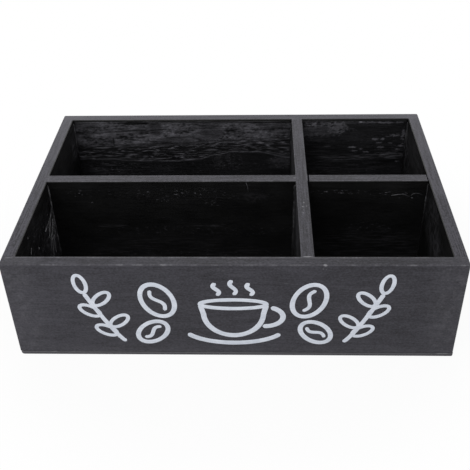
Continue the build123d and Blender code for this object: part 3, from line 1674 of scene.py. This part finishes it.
@dataclass
class Tray:
    """The tray: the frame's own pieces, dressed, and what is added to them.

    Attributes:
        front_chips: Knocks on the front board.
        base_chips: Knocks on the edge of the base panel.
        divider_chips: Knocks on the front-to-back divider.
        cross_chips: Knocks on the left-to-right divider.
    """

    front_chips: tuple[Chip, ...] = (
        Chip((48.2, -93.6, 79.9), 0.9, 0.5, 4.4, 1.0),
        Chip((-59.5, -102.3, 79.8), 0.8, 0.14, 4.0),
        Chip((-71.5, -102.3, 79.8), 0.7, 0.07, 5.0),
        Chip((-44.0, -102.3, 79.8), 0.8, 0.16, 3.2),
        Chip((-121.0, -102.3, 79.8), 0.7, 0.05, 3.0),
        Chip((-9.0, -102.5, 77.0), 0.7, 0.07, 2.0),
        Chip((-5.5, -102.5, 75.6), 0.6, 0.06, 2.4),
        Chip((9.0, -102.4, 79.8), 0.8, 0.06, 3.0),
        Chip((38.0, -102.4, 79.8), 0.8, 0.06, 3.0),
        Chip((58.8, -102.3, 79.7), 1.1, 0.4, 1.3),
        Chip((57.8, -102.5, 76.9), 0.6, 0.12),
        Chip((59.6, -102.5, 76.3), 0.5, 0.12),
        Chip((91.0, -102.3, 79.8), 0.8, 0.07, 2.4),
        Chip((113.5, -102.3, 79.8), 0.8, 0.1, 4.0),
        Chip((145.5, -102.3, 79.8), 0.8, 0.14, 3.4),
        Chip((137.0, -102.5, 68.0), 0.7, 0.06),
        Chip((136.5, -102.5, 45.5), 0.8, 0.07),
        Chip((34.8, -102.5, 65.0), 0.6, 0.07, 3.0),
    )
    base_chips: tuple[Chip, ...] = (
        Chip((142.5, -102.6, 2.9), 0.8, 0.3, 7.5, 0.5),
        Chip((-126.0, -102.6, 2.9), 0.7, 0.2, 4.0, 0.8),
    )
    divider_chips: tuple[Chip, ...] = (
        Chip((47.6, -44.5, 80.0), 0.8, 0.2),
        Chip((48.0, -41.0, 80.0), 0.6, 0.12),
        Chip((47.6, -36.8, 80.0), 0.9, 0.24, 1.4),
        Chip((50.2, -36.0, 80.0), 0.8, 0.1, 1.6),
        Chip((48.6, -31.8, 80.0), 0.9, 0.2, 1.2),
        Chip((50.7, -72.9, 80.0), 0.8, 0.06),
        Chip((52.4, 12.0, 79.8), 0.55, 0.09, 40.0, 1.0),
        Chip((52.4, 50.0, 79.8), 0.55, 0.06, 50.0, 1.4),
        Chip((43.9, 1.0, 79.9), 0.8, 0.2),
    )
    cross_chips: tuple[Chip, ...] = (
        Chip((42.9, 1.0, 79.9), 0.9, 0.3),
        Chip((7.2, -3.5, 78.0), 0.8, 0.3),
        Chip((7.8, -3.5, 74.0), 0.7, 0.2),
        Chip((140.4, 1.0, 79.8), 0.7, 0.22, 1.0, 0.6),
    )

    def back_patches(self) -> Iterator[Patch]:
        """Where the back board's inner face is thinly painted.

        Yields:
            The patches.
        """
        yield from patches(
            Mark.STREAKS, -1.0,
            (-112, 32, 46, 14, 0.07),
            (62, 42, 22, 44, 0.07),
            (98, 43, 32, 3.8, 0.2, 0.03),
            (130, 44.5, 12, 3.2, 0.3),
            (-116, 33, 18, 7, 0.08),
            (98, 31, 44, 8, 0.09),
        )
        yield from patches(
            Mark.SPECKS, -1.0,
            (112, 56, 30, 12, 0.12),
            (-20, 30, 110, 10, 0.16),
            (34, 38, 12, 8, 0.45),
            (-110, 34, 24, 7, 0.5),
            (-12, 40, 15, 9, 0.3),
            (98, 31, 42, 8, 0.2),
        )
        yield from patches(Mark.SMEAR, -1.0, (22, 36, 30, 6, 0.04), (36, 40, 12, 9, 0.12))
        yield from patches(Mark.HAIRS, -1.0, (-12, 40, 15, 9, 0.1))

    def cross_patches(self) -> Iterator[Patch]:
        """Where marks show on the left-to-right divider, in front and behind.

        Yields:
            The patches.
        """
        yield from patches(
            Mark.SPECKS, -1.0,
            (-121, 69.5, 7, 3.5, 0.6),
            (-109, 61, 6, 1.6, 0.6),
            (-70, 69.5, 5, 3.5, 0.6),
            (-57, 63, 7, 1.8, 0.6),
            (-41, 69.5, 7, 3.5, 0.6),
            (-29, 71, 6, 4, 0.6),
            (-17, 61, 7, 3.5, 0.6),
            (76, 70.6, 20, 2.2, 0.6),
            (-48, 68.5, 82, 6, 0.16),
            (-30, 35, 90, 5, 0.2),
            (-30, 13, 110, 4, 0.2),
            (118, 68, 22, 3.4, 0.3),
            (100, 38.5, 22, 4, 0.3),
        )
        yield from patches(
            Mark.STREAKS, -1.0,
            (-97, 39.8, 12, 1.3, 0.16),
            (-21, 40.3, 15, 1.3, 0.2),
            (96, 18, 50, 20, 0.09),
            (-60, 12, 90, 20, 0.05),
        )
        yield from patches(Mark.HAIRS, -1.0, (12, 66, 12, 5, 0.06))
        yield from patches(Mark.SPECKS, 1.0, (0, 66, 130, 7, 0.2))
        yield from patches(Mark.STREAKS, 1.0, (0, 36, 120, 14, 0.1))

    def left_patches(self) -> Iterator[Patch]:
        """Where marks show on the left side's inner face.

        Yields:
            The patches.
        """
        yield from patches(
            Mark.STREAKS, 1.0,
            # These streaks lighten the corner by the left-to-right divider: painted light where shade
            # falls.
            (-12, 38, 14, 34, 0.12),
            (50, 50, 44, 26, 0.05),
            (-45, 45, 60, 44, 0.04),
            # Grain shows through near the back corner, and is made paler to lighten that corner's shade:
            # partly painted light.
            (85, 56, 11, 9, 0.35),
            (85, 70, 13, 9, 0.14),
        )
        yield from patches(Mark.SPECKS, 1.0, (-50, 52, 30, 24, 0.55), (86, 54, 10, 8, 0.5))
        yield from patches(Mark.HAIRS, 1.0, (-18, 38, 16, 22, 0.26))

    def right_patches(self) -> Iterator[Patch]:
        """Where marks show on the right side's inner face."""
        yield from patches(Mark.STREAKS, -1.0, (-30, 60, 34, 20, 0.05), (50, 46, 50, 34, 0.14))
        yield from patches(Mark.HAIRS, -1.0, (-30, 60, 26, 20, 0.12), (-62, 40, 30, 26, 0.16))

    def long_patches(self) -> Iterator[Patch]:
        """Where marks show on both faces of the front-to-back divider.

        Yields:
            The patches.
        """
        yield from patches(Mark.SMEAR, -1.0, (-42, 64, 30, 20, 0.2), (50, 62, 40, 18, 0.16))
        yield from patches(Mark.STREAKS, -1.0, (-30, 50, 60, 34, 0.1))
        yield from patches(Mark.SMEAR, 1.0, (0, 60, 90, 20, 0.3))
        yield from patches(Mark.STREAKS, 1.0, (0, 46, 110, 44, 0.05))

    def runs(self) -> Iterator[Threads]:
        """The runs of glue and paint that stand out on the inner faces.

        Yields:
            Those of one board at a time.
        """
        yield Threads("left_side_runs", "left_side", Run.FRONT_TO_BACK, 1, (
            Thread(((-4.2, 57.5), (-7.0, 55.4), (-15.7, 53.0), (-24.4, 52.4), (-29.0, 52.4)), 1.15),
            Thread((
                (-7.0, 55.4), (-11.7, 51.0), (-17.6, 46.8), (-17.5, 41.1), (-16.1, 35.3), (-21.5, 26.0),
            ), 1.4),
            Thread(((-15.7, 53.0), (-17.6, 46.8), (-24.0, 42.5)), 1.0),
            Thread(((-6.5, 49.0), (-10.9, 42.0), (-14.5, 38.0)), 1.1),
            Thread(((-5.0, 38.0), (-9.0, 34.9), (-12.5, 36.0), (-16.1, 35.3)), 1.0),
            Thread(((-9.0, 34.9), (-14.0, 31.0), (-16.0, 25.0)), 1.0),
            Thread(((-19.0, 50.0), (-21.0, 44.0), (-19.5, 38.0), (-24.0, 30.0)), 0.9),
            Thread(((-12.0, 45.0), (-15.0, 40.5), (-20.5, 37.0)), 0.8),
            Thread(((-5.5, 44.0), (-8.5, 40.0), (-8.0, 36.5)), 0.8),
            Thread(((-11.0, 30.0), (-13.5, 26.0), (-12.5, 20.0)), 1.0),
            Thread(((-18.5, 31.0), (-19.5, 25.0), (-24.0, 20.0)), 0.8),
            Thread(((-16.6, 59.6), (-17.2, 58.6)), 1.6),
            Thread(((-62.5, 63.0), (-66.0, 59.6)), 1.5),
            Thread(((-48.0, 52.8), (-49.0, 51.2)), 1.5),
            Thread(((-64.8, 74.0), (-66.0, 73.0)), 1.2),
        ))
        yield Threads("right_side_runs", "right_side", Run.FRONT_TO_BACK, -1, (
            Thread(((91.3, 75.0), (89.6, 67.0), (87.4, 59.5), (85.4, 48.2), (84.0, 34.0)), 1.0),
        ))
        yield Threads("cross_divider_runs", "left_to_right_divider", Run.ALONG_FRONT, -1, (
            Thread(((7.2, 79.0), (8.4, 74.5), (8.9, 70.5)), 0.6),
            Thread(((107.6, 69.6), (108.6, 69.6)), 1.4),
            Thread(((109.9, 69.9), (112.2, 69.8)), 1.0),
            Thread(((114.8, 67.2), (119.5, 68.1), (123.2, 68.3), (127.0, 67.2)), 0.6),
            Thread(((124.6, 70.1), (127.0, 69.0)), 0.7),
            Thread((
                (129.3, 66.9), (130.6, 68.4), (132.5, 69.0), (135.0, 68.9), (137.0, 68.3), (138.4, 67.3),
            ), 0.6),
            Thread(((129.4, 65.2), (131.6, 65.0)), 1.0),
        ))

    def finishes(self) -> Iterator[BoardFinish]:
        """Chooses the paint of each board.

        Yields:
            The finish of one board at a time.
        """
        torn = tuple(self.back_patches())
        back = BlackCoat(paint(9, 9, 10), paint(28, 28, 30), foot=0.9, brim=0.7, patches=torn)
        # Each rim value paints light from above on a board's top, or shade where it is below 0, and the
        # front's drift paints shade towards its right end.
        front = CharcoalCoat(rim=-0.08, drift=0.0004, uneven=0.4)
        chips = self.front_chips
        yield BoardFinish("front_board", Run.ALONG_FRONT, 1, front, chips=chips, worn=0.85)
        yield BoardFinish("back_board", Run.ALONG_FRONT, -1, CharcoalCoat(rim=0.3), back)
        sides = {"left_side": (1, self.left_patches()), "right_side": (-1, self.right_patches())}
        for name, (inner, marks) in sides.items():
            outside = CharcoalCoat(rim=0.15, uneven=1.7)
            # The sides take a darker copy of the inner black: painted shade on their inner faces.
            inside = BlackCoat(paint(6, 6, 6), paint(15, 15, 16), patches=tuple(marks))
            yield BoardFinish(name, Run.FRONT_TO_BACK, inner, outside, inside)
        lap = (0.5, 0.85)
        outside = CharcoalCoat(rim=0.04, uneven=0.8)
        inside = BlackCoat(pale=paint(26, 26, 28), patches=tuple(self.long_patches()))
        name, chips = "front_to_back_divider", self.divider_chips
        yield BoardFinish(name, Run.FRONT_TO_BACK, 0, outside, inside, chips, lap)
        rubbed = paint(126, 125, 131)
        outside = CharcoalCoat(rubbed=rubbed, rim=-0.04, back_sheen=0.3, uneven=1.3)
        inside = BlackCoat(paint(10, 10, 10), patches=tuple(self.cross_patches()))
        name, chips = "left_to_right_divider", self.cross_chips
        yield BoardFinish(name, Run.ALONG_FRONT, 0, outside, inside, chips, lap, worn=0.75)

    def dress(self, node: str, material: bpy.types.Material) -> None:
        """Gives one of the frame's pieces its finish.

        Args:
            node: The piece.
            material: Its finish.
        """
        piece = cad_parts[node]
        piece.data.materials.clear()
        piece.data.materials.append(material)
        log.info("%s: dressed in %s", node, material.name)

    def compartments(self) -> Iterator[Compartment]:
        """The four compartments, between the faces of the boards.

        Yields:
            Them in order, from the front left anticlockwise.
        """
        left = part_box("left_side")[1].x / MM
        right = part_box("right_side")[0].x / MM
        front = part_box("front_board")[1].y / MM
        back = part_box("back_board")[0].y / MM
        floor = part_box("base_panel")[1].z / MM
        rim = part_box("left_side")[1].z / MM
        long_low, long_high = (corner.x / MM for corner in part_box("front_to_back_divider"))
        cross_low, cross_high = (corner.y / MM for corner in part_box("left_to_right_divider"))
        low, high = (left, front, floor), (long_low, cross_low, rim)
        yield Compartment("front_left", low, high, sizes=(1.0, 1.0, 1.7, 1.0))
        low, high = (long_high, front, floor), (right, cross_low, rim)
        yield Compartment("front_right", low, high, stop=2.5)
        low, high = (long_high, cross_high, floor), (right, back, rim)
        yield Compartment("back_right", low, high)
        low, high = (left, cross_high, floor), (long_low, back, rim)
        yield Compartment("back_left", low, high, sizes=(1.0, 1.0, 1.0, 1.2))

    def sawn_face(self, space: Compartment) -> SawnFace:
        """The back board's sawn face in a compartment.

        Args:
            space: The compartment.

        Returns:
            The face.
        """
        name, left, right = f"{space.name}_sawn_face", space.low[0], space.high[0]
        if space.name == "back_left":
            low = GrainLine((
                (-111, 42), (-98, 40.6), (-56, 39.8), (-38, 41.4),
                (-20, 46), (-7, 48.8), (14, 48.6), (44, 43),
            ))
            top = GrainLine(((-121, 54.5), (-81, 57), (-11, 60), (44, 62.5)))
            crack = GrainLine(((-131, 67.7), (-61, 71.0)))
            flakes = (
                Flake(-134, 75.5, 14, 3.0, -0.55, 0.8),
                Flake(-108, 66, 15, 11, 0.06, 0.4),
                Flake(-70, 65, 18, 2.6, 0.08, 0.8),
                Flake(10, 77.6, 95, 1.0, -0.8, 0.8),
                Flake(-2, 60.5, 34, 3.2, 0.09, 1.4),
                Flake(14, 43, 24, 3.0, 0.012, 2.0),
                Flake(38, 40, 7, 5.0, 0.06, 2.2),
                Flake(-128, 31, 11, 9.0, 0.045, 2.4),
                Flake(-90, 70.0, 12, 2.0, -0.45, 0.8),
                Flake(-52, 63, 9, 1.8, -0.5, 0.8),
                Flake(-66, 31, 7, 4.0, 0.03, 2.8),
                Flake(-12, 50, 56, 6.5, -0.2, 0.6),
                Flake(-71, 72, 6, 7, -0.7, 0.8),
                Flake(-66, 58.5, 9, 2.6, -0.6, 0.8),
                Flake(-55, 73, 8, 5.5, 0.11, 0.9),
                Flake(-60.5, 66.5, 4, 3.2, 0.14),
                Flake(-60, 61, 7, 3, -0.4),
                Flake(-108.5, 60, 1.0, 4, -0.9, 0.5),
                Flake(-25, 70, 9, 9, -0.6, 0.9),
                Flake(-11, 74.8, 4.5, 2.4, 0.14),
                Flake(-78, 64, 9, 3, 0.13, 1.0),
                Flake(31, 73.5, 11, 4.5, -0.5, 0.9),
                Flake(3, 59.6, 2.6, 0.7, 0.5, 0.5),
            )
            return SawnFace(name, left, right, 1.7, low, top, 0.265, 0.7, (top, crack), flakes)
        low = GrainLine(((52, 36), (78, 39.5), (110, 42), (141, 44.5)))
        top = GrainLine(((52, 38), (78, 43), (110, 46.5), (125, 52.0), (141, 60.0)))
        flakes = (
            Flake(68, 71, 24, 7, 0.14, 1.0),
            Flake(58, 70, 7, 9, 0.06, 1.0),
            Flake(131, 46.5, 8, 2.2, 0.12, 1.4),
            Flake(64.5, 74.5, 5, 1.4, 0.3, 2.0),
            Flake(81.5, 72.0, 7, 5.0, 0.24, 2.2),
            Flake(90, 76.5, 40, 1.2, 0.1, 1.2),
            Flake(101.9, 77.1, 1.5, 0.8, 0.8, 0.4),
            Flake(110, 77.0, 8, 0.7, 0.2, 2.0),
            Flake(127, 76.6, 9, 0.7, 0.22, 2.2),
            Flake(80, 63, 32, 5, 0.025, 0.8),
            Flake(115, 60.9, 3.0, 1.0, 0.5),
            Flake(121.6, 60.9, 1.6, 1.0, 0.5),
            Flake(119, 57.5, 3.0, 0.8, 0.35),
            Flake(126, 63.6, 4.0, 0.8, 0.25),
            Flake(132, 64.8, 4.0, 1.2, 0.4),
            Flake(138.4, 63, 1.3, 6, 0.34, 2.4),
            Flake(97, 53.2, 3.2, 0.9, 0.55),
            Flake(98.2, 49.6, 3.2, 0.8, 0.4),
            Flake(104, 51.6, 1.5, 0.8, 0.3),
            Flake(107.7, 48.6, 2.8, 0.7, 0.45),
            Flake(75.3, 54.2, 3.0, 0.7, 0.2),
            Flake(120.5, 53.1, 3.0, 0.8, 0.35),
            Flake(137, 54.2, 3.0, 0.7, 0.4),
            Flake(136, 51.0, 3.0, 0.8, 0.36),
            Flake(129, 57.2, 2.2, 0.7, 0.24),
            Flake(136, 39.1, 2.0, 0.7, 0.4),
        )
        return SawnFace(name, left, right, 6.3, low, top, 0.015, 0.2, flakes=flakes)

    def build(self) -> None:
        """Dresses every piece of the frame and adds the rest."""
        paints = {finish.name: finish.material() for finish in self.finishes()}
        for node, material in paints.items():
            self.dress(node, material)
        self.dress("base_panel", PlywoodFinish(chips=self.base_chips).material())
        self.dress("front_filler_plugs", paints["front_board"])
        steel = SteelFinish().material()
        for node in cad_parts:
            if node.endswith("_brads"):
                self.dress(node, steel)
        run = BeadFinish("run_paint", paint(70, 70, 73), paint(176, 176, 180)).material()
        dim = BeadFinish("dim_run_paint", paint(30, 30, 32), paint(96, 96, 100)).material()
        for threads in self.runs():
            threads.build(run if threads.node == "left_side" else dim)
        deep = paint(16, 16, 17)
        small = BeadFinish("dim_bead_paint", deep, paint(120, 120, 124), (40, 74)).material()
        front = BeadFinish("seam_bead_paint", paint(20, 20, 21), paint(140, 140, 144), (4, 34), 0.3)
        back = BeadFinish("back_bead_paint", deep, paint(124, 124, 128), (44, 56), 0.3)
        seams = {
            "front_left": front.material(),
            "front_right": small,
            "back_right": small,
            "back_left": back.material(),
        }
        for compartment in self.compartments():
            compartment.build(seams[compartment.name])
            if compartment.name.startswith("back"):
                self.sawn_face(compartment).build(paints["back_board"])


@dataclass(frozen=True)
class Lamp:
    """A square soft box.

    Attributes:
        name: Its name.
        place: Where it hangs.
        target: What it points at.
        size: The length of its sides.
        watts: Its power.
    """

    name: str
    place: Point
    target: Point
    size: float
    watts: float

    def hang(self) -> None:
        """Adds the lamp to the scene."""
        data = bpy.data.lights.new(self.name, "AREA")
        data.shape = "SQUARE"
        data.size = self.size * MM
        data.energy = self.watts
        lamp = placed(self.name, data)
        lamp.location = Vector(self.place) * MM
        way = Vector(self.target) - Vector(self.place)
        lamp.rotation_euler = way.to_track_quat("-Z", "Y").to_euler()


@dataclass
class Studio:
    """The pale floor, the soft lamps and the camera.

    Attributes:
        eye: Where the camera is.
        down: How far it looks down, in degrees.
        turned: How far it looks to the right.
        rolled: How far it is rolled.
        lens: Its focal length.
        sensor: The width of its sensor.
        clip: How near and how far it sees, in metres.
        lamps: The soft boxes.
        floor_size: The length of the floor's sides.
        floor_lap: How far the floor reaches under the tray.
        floor_colour: How pale the floor is.
        ambient: How strong the light from all round is.
        shadow_kept: How much of the tray's shadow shows on the white floor.
        shadow_end: How far from the tray's middle the shadow ends, in metres.
        shadow_soft: Where it starts to fade, as a share of that.
    """

    eye: Point = (18.563, -478.468, 379.911)
    down: float = 36.2878
    turned: float = -2.4665
    rolled: float = -1.4593
    lens: float = 58.192
    sensor: float = 36.0
    clip: Flat = (0.01, 50.0)
    lamps: tuple[Lamp, ...] = (
        Lamp("back_box", (-80.0, 430.0, 520.0), (-10.0, 70.0, 80.0), 480.0, 1.2),
        Lamp("front_box", (-420.0, -900.0, 900.0), (0.0, 0.0, 40.0), 800.0, 5.4),
    )
    floor_size: float = 9000.0
    floor_lap: float = 0.5
    floor_colour: Colour = (0.86, 0.86, 0.86, 1.0)
    ambient: float = 0.55
    shadow_kept: float = 0.06
    shadow_end: float = 0.27
    shadow_soft: float = 0.6

    def camera(self) -> None:
        """Sets up the camera."""
        data = bpy.data.cameras.new("camera")
        data.lens = self.lens
        data.sensor_width = self.sensor
        data.clip_start, data.clip_end = self.clip
        camera = placed("camera", data)
        down, turned, rolled = map(math.radians, (self.down, self.turned, self.rolled))
        flat = math.cos(down)
        ahead = Vector((math.sin(turned) * flat, math.cos(turned) * flat, -math.sin(down)))
        right = Vector((math.cos(turned), -math.sin(turned), 0.0))
        up = right.cross(ahead)
        level = right * math.cos(rolled) + up * math.sin(rolled)
        upright = up * math.cos(rolled) - right * math.sin(rolled)
        rotation = Matrix((level, upright, -ahead)).transposed().to_4x4()
        camera.matrix_world = Matrix.Translation(Vector(self.eye) * MM) @ rotation
        bpy.context.scene.camera = camera
        log.info("camera: %s", tuple(round(value, 4) for value in camera.location))

    def seen(self, graph: Graph) -> Link:
        """Tells the rays that see the background from those that light the tray.

        Args:
            graph: The graph of the world or of the floor.

        Returns:
            1 for rays from the camera, in reflections and through glass, and 0 for the rest.
        """
        camera = graph.add("ShaderNodeLightPath", out="Is Camera Ray")
        other = camera.output("Is Glossy Ray") + camera.output("Is Transmission Ray")
        return (camera + other).least(1.0)

    def world(self) -> None:
        """Lights the scene from all round, and shows white behind it."""
        world = bpy.data.worlds.new("studio")
        bpy.context.scene.world = world
        graph = Graph(world)
        strength = self.seen(graph) * (1 - self.ambient) + self.ambient
        sockets = {"Color": WHITE, "Strength": strength}
        sky = graph.add("ShaderNodeBackground", sockets=sockets)
        graph.add("ShaderNodeOutputWorld", sockets={"Surface": sky})

    def floor(self) -> None:
        """Lays the floor, which shows white apart from the tray's shadow.

        It is open under the tray, so that no two faces lie in one plane there.
        """
        half = self.floor_size / 2 * MM
        edge = Vector((half, half, 0.0))
        lap = Vector((self.floor_lap, self.floor_lap, 0.0)) * MM
        low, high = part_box("base_panel")
        points = []
        for one, two in ((-edge, edge), (low + lap, high - lap)):
            ring = ((one.x, one.y), (two.x, one.y), (two.x, two.y), (one.x, two.y))
            points += [(x, y, 0.0) for x, y in ring]
        sides = [(side, (side + 1) % 4, (side + 1) % 4 + 4, side + 4) for side in range(4)]
        mesh = bpy.data.meshes.new("floor")
        mesh.from_pydata(points, [], sides)
        floor = placed("floor", mesh)
        material = bpy.data.materials.new("floor")
        mesh.materials.append(material)
        graph = Graph(material)
        pale = graph.add("ShaderNodeBsdfDiffuse", sockets={"Color": self.floor_colour})
        white = graph.add("ShaderNodeEmission", sockets={"Strength": 1.0})
        metres = graph.add("ShaderNodeTexCoord", out="Object")
        away = graph.vector("LENGTH", metres, out="Value")
        fading = away.rise(self.shadow_end, self.shadow_end * self.shadow_soft)
        kept = fading * self.shadow_kept
        sockets = {0: self.seen(graph) * (1 - kept), 1: pale, 2: white}
        mixed = graph.add("ShaderNodeMixShader", sockets=sockets)
        graph.add("ShaderNodeOutputMaterial", sockets={"Surface": mixed})

    def build(self) -> None:
        """Sets up the whole studio."""
        bpy.context.scene.view_settings.view_transform = "Standard"
        self.camera()
        self.world()
        self.floor()
        for lamp in self.lamps:
            lamp.hang()


def main() -> None:
    """Builds the studio and the tray."""
    logging.basicConfig(level=logging.INFO, format="%(name)s: %(message)s")
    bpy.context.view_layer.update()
    Studio().build()
    Tray().build()
    FrontMotif().build()


if __name__ == "__main__":
    main()
